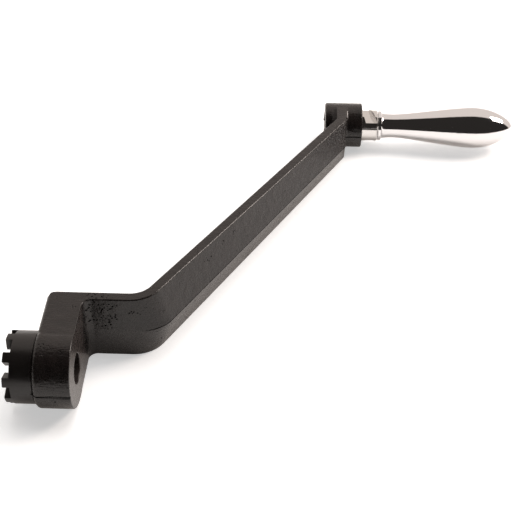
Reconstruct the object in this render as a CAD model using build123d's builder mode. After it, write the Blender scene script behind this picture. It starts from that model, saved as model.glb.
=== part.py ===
from build123d import *
import math
import os

# Elevating crank for a milling machine: a cast arm with a dog clutch on its hub, and a
# revolving handle screwed into the boss at its far end.
#
# X is the bore axis and points to the handle side, with zero on the machined face of
# the hub. Y runs from the bore to the handle axis. Z = 0 is the casting's parting
# plane, and the crank lies on its side with +Z up. Millimetres.

# Hub and clutch
bore_dia = 19.05
hub_dia = 49.2
hub_length = 22.8
hub_corner = 3.0
bore_chamfer = 0.5
clutch_dia = 44.45
clutch_length = 13.5
clutch_ring_inner = 30.0
tooth_count = 9
tooth_width = 6.3
tooth_length = 4.4
tooth_chamfer = 0.4
recess_below_teeth = 3.0

# Arm, seen along Z: a plate on the hub, a short web and a long slanted strap
arm_angle = 59.5
web_top = 42.9
web_thickness = 7.0
web_length = 36.2
strap_thickness = 6.9
plate_corner = 6.0
web_fillet = 5.5
bend_radius = 15.0

# Arm, seen along X: the width falls from the hub to the boss
hub_end_width = 47.6
taper_start = 50.0
taper_radius = 150.0
web_draft = 5.0
strap_draft = 17.0
back_draft = 3.0

# Boss and the axis of the handle
throw = 273.0
boss_dia = 34.2
boss_setback = 19.5
boss_length = 28.7
boss_corner = 1.5
boss_rim_chamfer = 0.6
strap_end_inset = 13.0
strap_tip_width = 7.0
boss_fillet = 2.5
shoulder_radius = 4.0

# Spindle
stud_dia = 12.7
stud_length = 25.4
stud_clearance = 0.05
stud_chamfer = 1.2
flange_dia = 24.1
flange_length = 12.4
flange_chamfer = 0.5
flat_length = 8.4
flat_across = 15.9
flat_turn = 19.0
shank_dia = 10.0
shank_length = 66.0
shank_chamfer = 0.8
groove_inset = 4.0

# Retaining ring
ring_wire = 1.4
ring_seat_depth = 0.75
ring_side_room = 0.1
ring_gap_angle = 30.0

# Grip
running_clearance = 0.05
end_clearance = 0.3
bore_end_clearance = 2.0
ring_room = 0.35
grip_length = 107.0
grip_base_dia = 23.0
grip_base_length = 2.6
grip_neck_dia = 18.6
grip_neck_place = 12.0
grip_belly_dia = 31.8
grip_belly_place = 75.0
grip_mouth_chamfer = 0.6
nose_fullness = 5.7
belly_fullness = 18.0
belly_taper = 15.0
neck_taper = 12.5
neck_hollow = 5.0
neck_drop = 2.0

# Derived places
along = (math.cos(math.radians(arm_angle)), math.sin(math.radians(arm_angle)))
outward = (along[1], -along[0])
strap_run = (throw - web_top) / along[1]
hub_back = -hub_length
clutch_root = hub_back - clutch_length
clutch_tip = clutch_root - tooth_length
boss_start = web_length + strap_run * along[0] - boss_setback
boss_end = boss_start + boss_length
half_width = hub_end_width / 2
boss_radius = boss_dia / 2
recess_floor = clutch_root + recess_below_teeth
strap_end = boss_end - strap_end_inset
flange_end = boss_end + flange_length
shank_end = flange_end + shank_length
stud_start = boss_end - stud_length
groove_dia = shank_dia - 2 * ring_seat_depth
hub_radius = hub_dia / 2
grip_start = flange_end + end_clearance


def slope(angle):
    return math.tan(math.radians(angle))


def strap_point(run, offset):
    """A point beside the strap's back line, run along it and offset to its front."""
    return (
        web_length + run * along[0] + offset * outward[0],
        web_top + run * along[1] + offset * outward[1],
    )


def crossing(first, second, x=None, y=None):
    """Where the line through two points crosses a given x or a given y."""
    rise = (second[1] - first[1]) / (second[0] - first[0])
    if y is None:
        return (x, first[1] + rise * (x - first[0]))
    return (first[0] + (y - first[1]) / rise, y)


def arm_section(height):
    """The arm's outline, cut at a height above the parting plane, as a sketch."""
    depth = half_width - height
    back = depth * slope(back_draft)
    web_bottom = web_top - web_thickness - depth * slope(web_draft)
    near = strap_point(0, strap_thickness + depth * slope(strap_draft))
    far_depth = boss_radius - height
    far = strap_point(strap_run, strap_thickness + far_depth * slope(strap_draft))
    back_near = strap_point(0, -back)
    back_far = strap_point(strap_run, -back)
    inner_bend = crossing(back_near, back_far, y=web_top + back)
    outer_bend = crossing(near, far, y=web_bottom)
    front_shoulder = crossing(near, far, x=strap_end)
    back_shoulder = crossing(back_near, back_far, x=strap_end - strap_tip_width)
    with BuildSketch(Plane.XY.offset(height)) as section:
        with BuildLine():
            Polyline(
                (hub_back, 0),
                (0, 0),
                (0, web_bottom),
                outer_bend,
                front_shoulder,
                (strap_end, throw),
                (strap_end - strap_tip_width, throw),
                back_shoulder,
                inner_bend,
                (hub_back, web_top + back),
                close=True,
            )
        make_face()
        rounds = [
            ((hub_back, web_top + back), plate_corner),
            ((0, web_bottom), web_fillet),
            (inner_bend, bend_radius),
            (outer_bend, bend_radius + web_thickness),
            (front_shoulder, shoulder_radius),
            (back_shoulder, shoulder_radius),
        ]
        for place, radius in rounds:
            corner = section.vertices().sort_by_distance(Vector(*place))[0]
            fillet(corner, radius)
    return section


# Width of the casting, seen along X: round at the hub, tapering until it meets the boss
with BuildPart() as width_envelope:
    with BuildSketch(Plane.YZ.offset(hub_back)) as width_outline:
        Circle(hub_radius)
        with BuildLine():
            Polyline(
                (0, -half_width),
                (taper_start, -half_width),
                (throw, -boss_radius),
                (throw, boss_radius),
                (taper_start, half_width),
                (0, half_width),
                close=True,
            )
        make_face()
        taper_corners = width_outline.vertices().sort_by(
            lambda vertex: abs(vertex.X - taper_start)
        )
        fillet(taper_corners[:2], taper_radius)
    extrude(amount=boss_end - hub_back)
    fillet(width_envelope.faces().sort_by(Axis.X)[0].edges(), hub_corner)

# Crank arm: one casting, machined on the hub's face, the bore, the clutch and the boss
parting_section = arm_section(0)
side_section = arm_section(half_width)

with BuildPart() as crank_arm:
    loft([parting_section.sketch, side_section.sketch], ruled=True)
    mirror(about=Plane.XY)
    with BuildSketch(Plane.YZ.offset(hub_back)):
        Circle(hub_radius)
    extrude(amount=hub_length)

    # Blend between the strap's end and the boss, in front of the boss
    with BuildSketch(Plane.XY):
        with BuildLine():
            Line((strap_end, throw), (strap_end, throw - boss_radius - boss_fillet))
            RadiusArc(
                (strap_end, throw - boss_radius - boss_fillet),
                (strap_end + boss_fillet, throw - boss_radius),
                boss_fillet,
            )
            Polyline(
                (strap_end + boss_fillet, throw - boss_radius),
                (strap_end + boss_fillet, throw),
                (strap_end, throw),
            )
        make_face()
    revolve(axis=Axis((0, throw, 0), (1, 0, 0)), revolution_arc=90)
    mirror(about=Plane.XY)
    add(width_envelope.part, mode=Mode.INTERSECT)

    # Boss, rounded at the back where it stays as cast and faced at the front
    with BuildSketch(Plane.YZ.offset(boss_start)):
        with Locations((throw, 0)):
            Circle(boss_radius)
    extrude(amount=boss_length)
    back_rim = crank_arm.edges().filter_by(GeomType.CIRCLE).filter_by(
        lambda edge: abs(edge.center().X - boss_start) < 0.01
    )
    fillet(back_rim, boss_corner)
    front_rim = crank_arm.faces().sort_by(Axis.X)[-1].edges()
    chamfer(front_rim, boss_rim_chamfer)

    # Clutch collar and its ring of teeth, one of which points along the arm
    with BuildSketch(Plane.YZ.offset(clutch_root)):
        Circle(clutch_dia / 2)
    extrude(amount=clutch_length)
    with BuildSketch(Plane.YZ.offset(clutch_tip)):
        with PolarLocations(clutch_dia / 2, tooth_count):
            Rectangle(clutch_dia / 2, tooth_width)
        Circle(clutch_dia / 2, mode=Mode.INTERSECT)
        Circle(clutch_ring_inner / 2, mode=Mode.SUBTRACT)
    extrude(amount=tooth_length)
    tooth_tips = crank_arm.faces().filter_by(Axis.X).group_by(Axis.X)[0]
    chamfer(tooth_tips.edges(), tooth_chamfer)

    # Bores: the shaft bore with the recess behind the teeth, and the stud's hole
    with BuildSketch(Plane.XY):
        with BuildLine():
            Polyline(
                (clutch_tip, 0),
                (clutch_tip, clutch_ring_inner / 2),
                (recess_floor, clutch_ring_inner / 2),
                (recess_floor, bore_dia / 2 + bore_chamfer),
                (recess_floor + bore_chamfer, bore_dia / 2),
                (-bore_chamfer, bore_dia / 2),
                (0, bore_dia / 2 + bore_chamfer),
                (0, 0),
                close=True,
            )
        make_face()
    revolve(axis=Axis.X, mode=Mode.SUBTRACT)
    with BuildSketch(Plane.YZ.offset(boss_start)):
        with Locations((throw, 0)):
            Circle(stud_dia / 2 + stud_clearance)
    extrude(amount=boss_length, mode=Mode.SUBTRACT)

crank_arm.part.label = "crank_arm"

# Spindle: threaded stud, flange with two spanner flats, and the shank the grip turns on
handle_axis = Axis((0, throw, 0), (1, 0, 0))
groove_start = shank_end - groove_inset - ring_wire
with BuildPart() as handle_spindle:
    with BuildSketch(Plane.XY):
        with BuildLine():
            Polyline(
                (stud_start, throw),
                (stud_start, throw + stud_dia / 2 - stud_chamfer),
                (stud_start + stud_chamfer, throw + stud_dia / 2),
                (boss_end, throw + stud_dia / 2),
                (boss_end, throw + flange_dia / 2),
                (flange_end, throw + flange_dia / 2),
                (flange_end, throw + shank_dia / 2),
                (groove_start - ring_side_room, throw + shank_dia / 2),
                (groove_start - ring_side_room, throw + groove_dia / 2),
                (groove_start + ring_wire + ring_side_room, throw + groove_dia / 2),
                (groove_start + ring_wire + ring_side_room, throw + shank_dia / 2),
                (shank_end - shank_chamfer, throw + shank_dia / 2),
                (shank_end, throw + shank_dia / 2 - shank_chamfer),
                (shank_end, throw),
                close=True,
            )
        make_face()
    revolve(axis=handle_axis)
    flange_edges = handle_spindle.edges().filter_by(GeomType.CIRCLE)
    flange_edges = flange_edges.filter_by(lambda edge: abs(edge.radius - flange_dia / 2) < 0.01)
    chamfer(flange_edges, flange_chamfer)
    flat_plane = Plane(origin=(boss_end, throw, 0), x_dir=(0, 1, 0), z_dir=(1, 0, 0))
    with BuildSketch(flat_plane.rotated((0, 0, flat_turn))):
        with Locations((0, flat_across / 2 + flange_dia / 2), (0, -flat_across / 2 - flange_dia / 2)):
            Rectangle(2 * flange_dia, flange_dia)
    extrude(amount=flat_length, mode=Mode.SUBTRACT)
handle_spindle.part.label = "handle_spindle"

# Retaining ring: a split wire ring sprung into the shank's groove
ring_centre = groove_start + ring_wire / 2
with BuildPart() as retaining_ring:
    with BuildSketch(Plane.XY):
        with Locations((ring_centre, throw + groove_dia / 2 + running_clearance + ring_wire / 2)):
            Circle(ring_wire / 2)
    revolve(axis=handle_axis, revolution_arc=360 - ring_gap_angle)
retaining_ring.part.label = "retaining_ring"

# Grip: turned and plated, bored from its base, with a groove that clears the ring
mouth = grip_start + grip_mouth_chamfer
bore_radius = shank_dia / 2 + running_clearance
bore_end = shank_end + bore_end_clearance
relief_radius = groove_dia / 2 + running_clearance + ring_wire + ring_room
relief_start = groove_start - ring_room
relief_end = groove_start + ring_wire + ring_room
base_end = grip_start + grip_base_length
neck = grip_start + grip_neck_place
belly = grip_start + grip_belly_place
tip = grip_start + grip_length
with BuildPart() as grip:
    with BuildSketch(Plane.XY):
        with BuildLine():
            Line((bore_end, throw), (tip, throw))
            Bezier(
                (tip, throw),
                (tip, throw + nose_fullness),
                (belly + belly_fullness, throw + grip_belly_dia / 2),
                (belly, throw + grip_belly_dia / 2),
            )
            Bezier(
                (belly, throw + grip_belly_dia / 2),
                (belly - belly_taper, throw + grip_belly_dia / 2),
                (neck + neck_taper, throw + grip_neck_dia / 2),
                (neck, throw + grip_neck_dia / 2),
            )
            Bezier(
                (neck, throw + grip_neck_dia / 2),
                (neck - neck_hollow, throw + grip_neck_dia / 2),
                (base_end, throw + grip_base_dia / 2 - neck_drop),
                (base_end, throw + grip_base_dia / 2),
            )
            Polyline(
                (base_end, throw + grip_base_dia / 2),
                (mouth, throw + grip_base_dia / 2),
                (grip_start, throw + grip_base_dia / 2 - grip_mouth_chamfer),
                (grip_start, throw + bore_radius + grip_mouth_chamfer),
                (mouth, throw + bore_radius),
                (relief_start, throw + bore_radius),
                (relief_start, throw + relief_radius),
                (relief_end, throw + relief_radius),
                (relief_end, throw + bore_radius),
                (bore_end, throw + bore_radius),
                (bore_end, throw),
            )
        make_face()
    revolve(axis=handle_axis)
grip.part.label = "grip"

os.makedirs("parts", exist_ok=True)
export_step(crank_arm.part, "parts/crank_arm.step")
export_step(handle_spindle.part, "parts/handle_spindle.step")
export_step(retaining_ring.part, "parts/retaining_ring.step")
export_step(grip.part, "parts/grip.step")
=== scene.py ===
import bpy
import bmesh
import math
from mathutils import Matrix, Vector


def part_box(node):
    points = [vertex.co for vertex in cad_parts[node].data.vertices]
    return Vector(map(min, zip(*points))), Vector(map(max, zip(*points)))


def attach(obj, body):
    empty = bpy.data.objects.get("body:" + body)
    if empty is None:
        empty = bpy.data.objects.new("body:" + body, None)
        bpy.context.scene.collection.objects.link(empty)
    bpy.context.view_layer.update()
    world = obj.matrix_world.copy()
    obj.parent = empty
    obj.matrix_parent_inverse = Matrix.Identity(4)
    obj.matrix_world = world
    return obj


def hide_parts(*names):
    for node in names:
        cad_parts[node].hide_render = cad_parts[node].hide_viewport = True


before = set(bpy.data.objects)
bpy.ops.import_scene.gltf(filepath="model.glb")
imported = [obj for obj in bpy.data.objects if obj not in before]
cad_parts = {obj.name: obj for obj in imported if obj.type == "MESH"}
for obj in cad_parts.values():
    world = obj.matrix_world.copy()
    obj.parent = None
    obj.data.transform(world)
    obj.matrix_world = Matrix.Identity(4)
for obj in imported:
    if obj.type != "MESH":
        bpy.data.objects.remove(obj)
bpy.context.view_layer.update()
scene = bpy.context.scene
scene.view_settings.view_transform = "Standard"

# Camera: in front of the hub, looking down on the crank at about 40 degrees.
AIM = Vector((0.1042, 0.1095, 0.0))
CAMERA_DISTANCE = 0.7416
CAMERA_TURN = math.radians(2.24)
CAMERA_DROP = math.radians(40.24)
LENS = 76.7
look = Vector((
    -math.sin(CAMERA_TURN) * math.cos(CAMERA_DROP),
    math.cos(CAMERA_TURN) * math.cos(CAMERA_DROP),
    -math.sin(CAMERA_DROP),
))
camera_data = bpy.data.cameras.new("camera")
camera_data.lens = LENS
camera_data.sensor_width = 36
camera = bpy.data.objects.new("camera", camera_data)
camera.location = AIM - look * CAMERA_DISTANCE
camera.rotation_mode = "QUATERNION"
camera.rotation_quaternion = look.to_track_quat("-Z", "Y")
scene.collection.objects.link(camera)
scene.camera = camera

# World: a white studio wall behind and above the crank, and a dark room in front of it.
WARM = (1.0, 0.89, 0.82, 1)
WHITE = (1, 1, 1, 1)
WALL_LEAN = -0.15
world = bpy.data.worlds.new("studio")
scene.world = world
world.use_nodes = True
tree = world.node_tree
tree.nodes.clear()
direction = tree.nodes.new("ShaderNodeTexCoord")
axes = tree.nodes.new("ShaderNodeSeparateXYZ")
tree.links.new(direction.outputs["Generated"], axes.inputs[0])
lean = tree.nodes.new("ShaderNodeMath")
lean.operation = "MULTIPLY_ADD"
lean.inputs[1].default_value = WALL_LEAN
tree.links.new(axes.outputs["Z"], lean.inputs[0])
tree.links.new(axes.outputs["Y"], lean.inputs[2])
wall = tree.nodes.new("ShaderNodeMapRange")
wall.interpolation_type = "SMOOTHSTEP"
wall.inputs["From Min"].default_value = -0.04
wall.inputs["From Max"].default_value = 0.06
wall.inputs["To Min"].default_value = 0.025
wall.inputs["To Max"].default_value = 0.8
tree.links.new(lean.outputs[0], wall.inputs["Value"])
room = tree.nodes.new("ShaderNodeBackground")
room.inputs["Color"].default_value = WARM
tree.links.new(wall.outputs[0], room.inputs["Strength"])
white = tree.nodes.new("ShaderNodeBackground")
white.inputs["Color"].default_value = WHITE
rays = tree.nodes.new("ShaderNodeLightPath")
choice = tree.nodes.new("ShaderNodeMixShader")
tree.links.new(rays.outputs["Is Camera Ray"], choice.inputs[0])
tree.links.new(room.outputs[0], choice.inputs[1])
tree.links.new(white.outputs[0], choice.inputs[2])
world_output = tree.nodes.new("ShaderNodeOutputWorld")
tree.links.new(choice.outputs[0], world_output.inputs["Surface"])


def node_material(name):
    """A node material, its Principled shader, and two functions that add nodes with their links."""
    material = bpy.data.materials.new(name)
    material.use_nodes = True
    tree = material.node_tree
    principled = tree.nodes["Principled BSDF"]

    def add(kind, inputs=None, **settings):
        node = tree.nodes.new(kind)
        for key, value in settings.items():
            setattr(node, key, value)
        for key, value in (inputs or {}).items():
            if isinstance(value, bpy.types.NodeSocket):
                tree.links.new(value, node.inputs[key])
            else:
                node.inputs[key].default_value = value
        return node

    def calc(operation, first, second=None):
        inputs = {0: first} if second is None else {0: first, 1: second}
        return add("ShaderNodeMath", inputs, operation=operation).outputs[0]

    return material, principled, add, calc


def connect(material, output, shader_input):
    material.node_tree.links.new(output, shader_input)


# Floor: white paper that touches the hub and the boss, so it tilts a little along Y. The bore's
# axis is X, and the handle's axis is parallel to it.
PAPER_HALF = 8.0
PAPER_GAP = 0.0003
arm_low, arm_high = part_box("crank_arm")
grip_low, grip_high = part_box("grip")
HANDLE_Y = (grip_low.y + grip_high.y) / 2
BOSS_RADIUS = arm_high.y - HANDLE_Y
paper_tilt = (arm_low.z + BOSS_RADIUS) / HANDLE_Y
corners = [
    (-PAPER_HALF, -PAPER_HALF),
    (PAPER_HALF, -PAPER_HALF),
    (PAPER_HALF, PAPER_HALF),
    (-PAPER_HALF, PAPER_HALF),
]
points = [(x, y, arm_low.z - paper_tilt * y - PAPER_GAP) for x, y in corners]
floor_mesh = bpy.data.meshes.new("floor")
floor_mesh.from_pydata(points, [], [(0, 1, 2, 3)])
floor = bpy.data.objects.new("floor", floor_mesh)
scene.collection.objects.link(floor)
paper, shader, add, calc = node_material("paper")
shader.inputs["Base Color"].default_value = (0.8, 0.8, 0.8, 1)
shader.inputs["Roughness"].default_value = 0.9
shader.inputs["Specular IOR Level"].default_value = 0.0
rays = add("ShaderNodeLightPath")
seen = calc("MULTIPLY", rays.outputs["Is Camera Ray"], 0.5)
mirrored = calc("MULTIPLY", rays.outputs["Is Glossy Ray"], 0.25)
connect(paper, calc("ADD", seen, mirrored), shader.inputs["Emission Strength"])
tint = add("ShaderNodeMix", {"Factor": rays.outputs["Is Camera Ray"], "A": WARM, "B": WHITE},
           data_type="RGBA")
connect(paper, tint.outputs["Result"], shader.inputs["Emission Color"])
floor_mesh.materials.append(paper)

# Lights: a broad light from above and behind for the paper, and a softbox on the right for
# the bright lines along the arm's edges.
sun_data = bpy.data.lights.new("overhead", "SUN")
sun_data.energy = 1.6
sun_data.angle = math.radians(50)
sun = bpy.data.objects.new("overhead", sun_data)
sun.rotation_mode = "QUATERNION"
sun.rotation_quaternion = Vector((-0.15, -0.45, -1.0)).to_track_quat("-Z", "Y")
sun.visible_glossy = False
scene.collection.objects.link(sun)

SOFTBOX_AIM = Vector((0.12, 0.12, 0))
softbox_data = bpy.data.lights.new("softbox", "AREA")
softbox_data.shape = "SQUARE"
softbox_data.size = 0.42
softbox_data.energy = 11.0
softbox_data.color = WARM[:3]
softbox = bpy.data.objects.new("softbox", softbox_data)
softbox.location = (1.1, 0.51, 0.78)
softbox.rotation_mode = "QUATERNION"
softbox.rotation_quaternion = (SOFTBOX_AIM - softbox.location).to_track_quat("-Z", "Y")
scene.collection.objects.link(softbox)

# Casting: hub, plate, web, strap and boss in one sand-cast iron piece. Its cast edges are
# round and a trimmed parting seam runs round it. The clutch collar is turned, the bore and
# the two end faces are machined, and the whole is painted black.

# Cast enamel: brushed paint over the cast skin, with orange peel, lumps and blow holes.
ARM_ANGLE = math.radians(59.5)
WEB_ROOT = (0.010, 0.034, 0.013)
enamel, shader, add, calc = node_material("cast_enamel")
place = add("ShaderNodeTexCoord").outputs["Object"]
peel = add("ShaderNodeTexNoise", {"Vector": place, "Scale": 620.0, "Detail": 3.0, "Roughness": 0.55})
lumps = add("ShaderNodeTexNoise", {"Vector": place, "Scale": 150.0, "Detail": 1.0})
along = add("ShaderNodeMapping",
            {"Vector": place, "Rotation": (0, 0, -ARM_ANGLE), "Scale": (0.25, 1, 1)})
streaks = add("ShaderNodeTexNoise", {"Vector": along.outputs[0], "Scale": 800.0, "Detail": 2.0})
cells = add("ShaderNodeTexVoronoi", {"Vector": place, "Scale": 520.0, "Randomness": 1.0})
holes = add("ShaderNodeMapRange",
            {"Value": cells.outputs["Distance"], "From Min": 0.38, "From Max": 0.15},
            interpolation_type="SMOOTHSTEP")
patches = add("ShaderNodeTexNoise", {"Vector": place, "Scale": 110.0, "Detail": 1.0})
from_root = add("ShaderNodeVectorMath", {0: place, 1: WEB_ROOT}, operation="DISTANCE")
near_root = add("ShaderNodeMapRange",
                {"Value": from_root.outputs["Value"], "From Min": 0.015, "From Max": 0.003,
                 "To Max": 0.6})
likely = calc("ADD", patches.outputs["Fac"], near_root.outputs[0])
pitted = add("ShaderNodeMapRange", {"Value": likely, "From Min": 0.64, "From Max": 0.74})
pits = calc("MULTIPLY", holes.outputs[0], pitted.outputs[0])

# The parting line wanders a little, and stops where the web leaves the hub.
axes = add("ShaderNodeSeparateXYZ", {0: place})
wander = calc("MULTIPLY", calc("SUBTRACT", lumps.outputs["Fac"], 0.5), 0.0008)
off_seam = calc("ABSOLUTE", calc("ADD", axes.outputs["Z"], wander))
seam = add("ShaderNodeMapRange", {"Value": off_seam, "From Min": 0.00055, "From Max": 0.00015},
           interpolation_type="SMOOTHSTEP")
past_web = add("ShaderNodeMapRange",
               {"Value": axes.outputs["X"], "From Min": 0.035, "From Max": 0.045})
before_web = add("ShaderNodeMapRange",
                 {"Value": axes.outputs["X"], "From Min": 0.002, "From Max": 0.0})
off_web = calc("MAXIMUM", past_web.outputs[0], before_web.outputs[0])
groove = calc("MULTIPLY", seam.outputs[0], off_web)

height = calc("MULTIPLY", peel.outputs["Fac"], 0.4)
height = calc("ADD", height, calc("MULTIPLY", lumps.outputs["Fac"], 0.9))
height = calc("ADD", height, calc("MULTIPLY", streaks.outputs["Fac"], 0.45))
height = calc("SUBTRACT", height, calc("MULTIPLY", pits, 1.4))
height = calc("SUBTRACT", height, calc("MULTIPLY", groove, 0.7))
bump = add("ShaderNodeBump", {"Height": height, "Strength": 1.0, "Distance": 0.0004})
connect(enamel, bump.outputs[0], shader.inputs["Normal"])
# Painted shade: the blow holes and the trimmed seam groove are painted near black and their shine is
# turned down, standing for the shade inside these hollows. They are also made rougher.
shaded_hollows = calc("MAXIMUM", pits, groove)
tone = add("ShaderNodeMix",
           {"Factor": lumps.outputs["Fac"], "A": (0.006, 0.005, 0.005, 1),
            "B": (0.016, 0.012, 0.011, 1)},
           data_type="RGBA")
dark = add("ShaderNodeMix",
           {"Factor": shaded_hollows, "A": tone.outputs["Result"], "B": (0.001, 0.001, 0.001, 1)},
           data_type="RGBA")
connect(enamel, dark.outputs["Result"], shader.inputs["Base Color"])
gloss = add("ShaderNodeMapRange", {"Value": peel.outputs["Fac"], "To Min": 0.20, "To Max": 0.36})
rough = calc("ADD", gloss.outputs[0], calc("MULTIPLY", shaded_hollows, 0.4))
connect(enamel, rough, shader.inputs["Roughness"])
shine = calc("SUBTRACT", 0.5, calc("MULTIPLY", shaded_hollows, 0.45))
connect(enamel, shine, shader.inputs["Specular IOR Level"])

# Turned enamel: the same paint, thin over the turned clutch collar and its teeth.
smooth_enamel, shader, add, calc = node_material("turned_enamel")
place = add("ShaderNodeTexCoord").outputs["Object"]
rings = add("ShaderNodeMapping", {"Vector": place, "Scale": (1.0, 0.03, 0.03)})
marks = add("ShaderNodeTexNoise", {"Vector": rings.outputs[0], "Scale": 3500.0, "Detail": 1.0})
mottle = add("ShaderNodeTexNoise", {"Vector": place, "Scale": 300.0, "Detail": 2.0})
height = calc("ADD", calc("MULTIPLY", marks.outputs["Fac"], 0.3), mottle.outputs["Fac"])
bump = add("ShaderNodeBump", {"Height": height, "Strength": 1.0, "Distance": 0.00004})
connect(smooth_enamel, bump.outputs[0], shader.inputs["Normal"])
gloss = add("ShaderNodeMapRange", {"Value": mottle.outputs["Fac"], "To Min": 0.26, "To Max": 0.36})
connect(smooth_enamel, gloss.outputs[0], shader.inputs["Roughness"])
shader.inputs["Base Color"].default_value = (0.009, 0.0075, 0.007, 1)

# Faced iron: the hub's and the boss's machined faces, blackened, with the facing tool's rings.
FACING_PITCH = 0.0004
faced, shader, add, calc = node_material("faced_iron")
place = add("ShaderNodeTexCoord").outputs["Object"]
axes = add("ShaderNodeSeparateXYZ", {0: place})
y_squared = calc("POWER", axes.outputs["Y"], 2.0)
z_squared = calc("POWER", axes.outputs["Z"], 2.0)
from_axis = calc("SQRT", calc("ADD", y_squared, z_squared))
rings = calc("SINE", calc("MULTIPLY", from_axis, 2 * math.pi / FACING_PITCH))
mottle = add("ShaderNodeTexNoise", {"Vector": place, "Scale": 260.0, "Detail": 3.0})
height = calc("ADD", calc("MULTIPLY", rings, 0.25), mottle.outputs["Fac"])
bump = add("ShaderNodeBump", {"Height": height, "Strength": 1.0, "Distance": 0.000008})
connect(faced, bump.outputs[0], shader.inputs["Normal"])
tone = add("ShaderNodeMix",
           {"Factor": mottle.outputs["Fac"], "A": (0.02, 0.016, 0.015, 1),
            "B": (0.045, 0.037, 0.034, 1)},
           data_type="RGBA")
connect(faced, tone.outputs["Result"], shader.inputs["Base Color"])
gloss = add("ShaderNodeMapRange", {"Value": mottle.outputs["Fac"], "To Min": 0.2, "To Max": 0.34})
connect(faced, gloss.outputs[0], shader.inputs["Roughness"])

# The casting's mesh: a merged copy of the arm, cut along both sides of the parting seam.
SEAM_HALF = 0.0006
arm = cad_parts["crank_arm"]
work = bmesh.new()
work.from_mesh(arm.data)
bmesh.ops.remove_doubles(work, verts=work.verts, dist=2e-6)
bmesh.ops.dissolve_limit(work, angle_limit=math.radians(0.4), verts=work.verts, edges=work.edges)
for seam_z in (-SEAM_HALF, 0.0, SEAM_HALF):
    everything = work.faces[:] + work.edges[:] + work.verts[:]
    bmesh.ops.bisect_plane(work, geom=everything, plane_co=(0, 0, seam_z), plane_no=(0, 0, 1),
                           dist=1e-7)

# Each face gets the finish of the surface it lies on.
CAST, TURNED, FACED = 0, 1, 2
HUB_BACK = -0.0228
BOSS_FACE = arm_high.x
BORE_RADIUS = 0.009525
BORE_CHAMFER = 0.001
STUD_HOLE_RADIUS = 0.0065
HUB_END_X = 0.001
BOSS_START_X = 0.1
NEAR = 0.0001


def surface_kind(place, normal):
    """CAST, TURNED or FACED, from a point on the arm and its outward normal."""
    from_bore = math.hypot(place.y, place.z)
    from_handle = math.hypot(place.y - HANDLE_Y, place.z)
    if place.x < HUB_BACK - NEAR:
        return TURNED
    if from_bore < BORE_RADIUS + BORE_CHAMFER and place.x < HUB_END_X:
        return FACED
    if abs(place.x) < NEAR and normal.x > 0.99:
        return FACED
    if place.x > BOSS_FACE - NEAR or (from_handle < STUD_HOLE_RADIUS and place.x > BOSS_START_X):
        return FACED
    return CAST


for face in work.faces:
    face.smooth = True
    face.material_index = surface_kind(face.calc_center_median(), face.normal)

# The seam is trimmed a little below the cast skin, deeper under the hub than along the arm.
HUB_SEAM_DEPTH = 0.00045
ARM_SEAM_DEPTH = 0.0002
for vertex in work.verts:
    if abs(vertex.co.z) < 1e-6:
        cast = [face for face in vertex.link_faces if face.material_index == CAST]
        if cast:
            outward = sum((face.normal for face in cast), Vector())
            outward.z = 0
            on_hub = vertex.co.x < HUB_END_X and vertex.co.y < 0
            depth = HUB_SEAM_DEPTH if on_hub else ARM_SEAM_DEPTH
            if outward.length > 0.1:
                vertex.co -= outward.normalized() * depth

# Outward corners of the cast skin are round, and nothing stands below the arm's own box.
EDGE_RADIUS = 0.0009
ROUNDED_FROM = math.radians(50)
cast_edges = [
    edge for edge in work.edges
    if edge.is_convex
    and edge.calc_face_angle(0) > ROUNDED_FROM
    and any(face.material_index == CAST for face in edge.link_faces)
]
bmesh.ops.bevel(work, geom=cast_edges, offset=EDGE_RADIUS, offset_type="OFFSET", segments=3,
                profile=0.5, affect="EDGES", clamp_overlap=False, material=CAST)
for vertex in work.verts:
    vertex.co.y = max(vertex.co.y, arm_low.y)
casting_mesh = bpy.data.meshes.new("casting")
work.to_mesh(casting_mesh)
work.free()
for material in (enamel, smooth_enamel, faced):
    casting_mesh.materials.append(material)
casting_mesh.set_sharp_from_angle(angle=math.radians(38))
casting = bpy.data.objects.new("casting", casting_mesh)
scene.collection.objects.link(casting)
weighted = casting.modifiers.new("weighted", "WEIGHTED_NORMAL")
weighted.keep_sharp = True
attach(casting, "crank")
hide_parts("crank_arm")
arm.data.materials.clear()
arm.data.materials.append(enamel)

# Grip: turned steel with a closed nose, bored from its base to turn on the spindle's shank.
# It is polished and chrome plated, with faint polishing lines round it.
chrome, shader, add, calc = node_material("polished_chrome")
place = add("ShaderNodeTexCoord").outputs["Object"]
shader.inputs["Metallic"].default_value = 1.0
rings = add("ShaderNodeMapping", {"Vector": place, "Scale": (1.0, 0.02, 0.02)})
lines = add("ShaderNodeTexNoise", {"Vector": rings.outputs[0], "Scale": 2500.0, "Detail": 2.0})
waves = add("ShaderNodeTexNoise", {"Vector": place, "Scale": 60.0, "Detail": 1.0})
height = calc("ADD", calc("MULTIPLY", lines.outputs["Fac"], 0.02), waves.outputs["Fac"])
bump = add("ShaderNodeBump", {"Height": height, "Strength": 1.0, "Distance": 0.00006})
connect(chrome, bump.outputs[0], shader.inputs["Normal"])
gloss = add("ShaderNodeMapRange", {"Value": waves.outputs["Fac"], "To Min": 0.03, "To Max": 0.09})
connect(chrome, gloss.outputs[0], shader.inputs["Roughness"])
shader.inputs["Base Color"].default_value = (0.84, 0.84, 0.85, 1)

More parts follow.
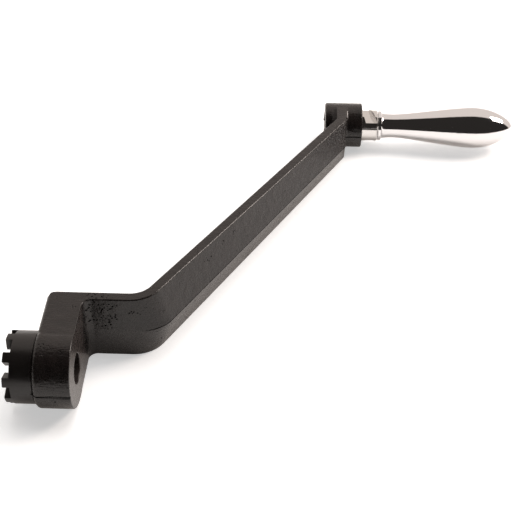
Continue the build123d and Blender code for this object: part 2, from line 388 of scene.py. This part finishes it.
# Spindle and ring: the spindle is turned from steel bar and screwed into the boss, with a
# cutter's arcs on the two spanner flats milled on its flange. The ring is spring wire that
# snaps into the shank's groove.
SPANNER_FLAT_HALF = 0.00795
SPANNER_FLAT_TURN = math.radians(19.0)
FLAT_DEPTH = 0.00003
CUTTER_CENTRE = (BOSS_FACE - 0.006, HANDLE_Y, 0.012)
CUTTER_PITCH = 0.0011
milled, shader, add, calc = node_material("milled_steel")
place = add("ShaderNodeTexCoord").outputs["Object"]
shader.inputs["Metallic"].default_value = 1.0
axes = add("ShaderNodeSeparateXYZ", {0: place})
below = calc("SUBTRACT", HANDLE_Y, axes.outputs["Y"])
across = calc("MULTIPLY", axes.outputs["Z"], math.cos(SPANNER_FLAT_TURN))
side = calc("ADD", calc("MULTIPLY", below, math.sin(SPANNER_FLAT_TURN)), across)
off_flat = calc("ABSOLUTE", calc("SUBTRACT", calc("ABSOLUTE", side), SPANNER_FLAT_HALF))
on_flat = calc("LESS_THAN", off_flat, FLAT_DEPTH)
cutter = add("ShaderNodeVectorMath", {0: place, 1: CUTTER_CENTRE}, operation="DISTANCE")
arcs = calc("SINE", calc("MULTIPLY", cutter.outputs["Value"], 2 * math.pi / CUTTER_PITCH))
grain = add("ShaderNodeTexNoise", {"Vector": place, "Scale": 1500.0, "Detail": 2.0})
rings = add("ShaderNodeMapping", {"Vector": place, "Scale": (1.0, 0.02, 0.02)})
lines = add("ShaderNodeTexNoise", {"Vector": rings.outputs[0], "Scale": 3000.0, "Detail": 2.0})
milling = calc("ADD", arcs, grain.outputs["Fac"])
height = add("ShaderNodeMix", {"Factor": on_flat, "A": lines.outputs["Fac"], "B": milling})
bump = add("ShaderNodeBump",
           {"Height": height.outputs["Result"], "Strength": 1.0, "Distance": 0.00003})
connect(milled, bump.outputs[0], shader.inputs["Normal"])
gloss = add("ShaderNodeMix", {"Factor": on_flat, "A": 0.12, "B": 0.36})
connect(milled, gloss.outputs["Result"], shader.inputs["Roughness"])
shader.inputs["Base Color"].default_value = (0.76, 0.75, 0.74, 1)

for name, material in (("grip", chrome), ("handle_spindle", milled), ("retaining_ring", milled)):
    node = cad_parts[name]
    node.data.materials.clear()
    node.data.materials.append(material)
